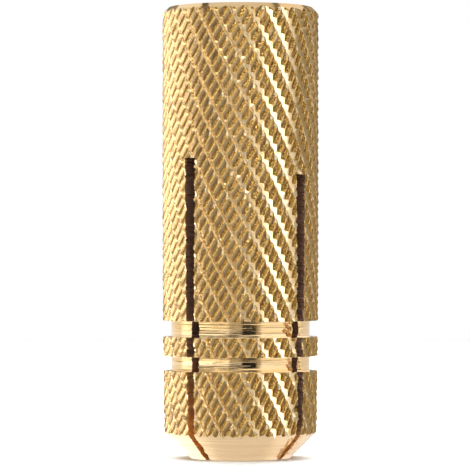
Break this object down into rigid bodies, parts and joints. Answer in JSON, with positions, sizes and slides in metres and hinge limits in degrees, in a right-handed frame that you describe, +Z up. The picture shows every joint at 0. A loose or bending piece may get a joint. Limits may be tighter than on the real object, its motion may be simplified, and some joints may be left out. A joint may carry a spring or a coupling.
{
  "type": "expansion anchor",
  "caption": "Slotted brass expansion anchor: knurled sleeve with a threaded bore, ring grooves and a coned end that a screw spreads inside a drilled hole.",
  "frame": {"origin": "middle of the coned end's face, on the sleeve's axis", "axes": "+Z up the sleeve's axis towards the mouth of the threaded bore; the longer slot opens on +Y and -Y, the shorter on +X and -X"},
  "size_m": [0.01, 0.01, 0.0287],
  "materials": {
    "brass": "turned and knurled, bright"
  },
  "bodies": {
    "root": {"anchor_sleeve": "brass"}
  },
  "joints": []
}
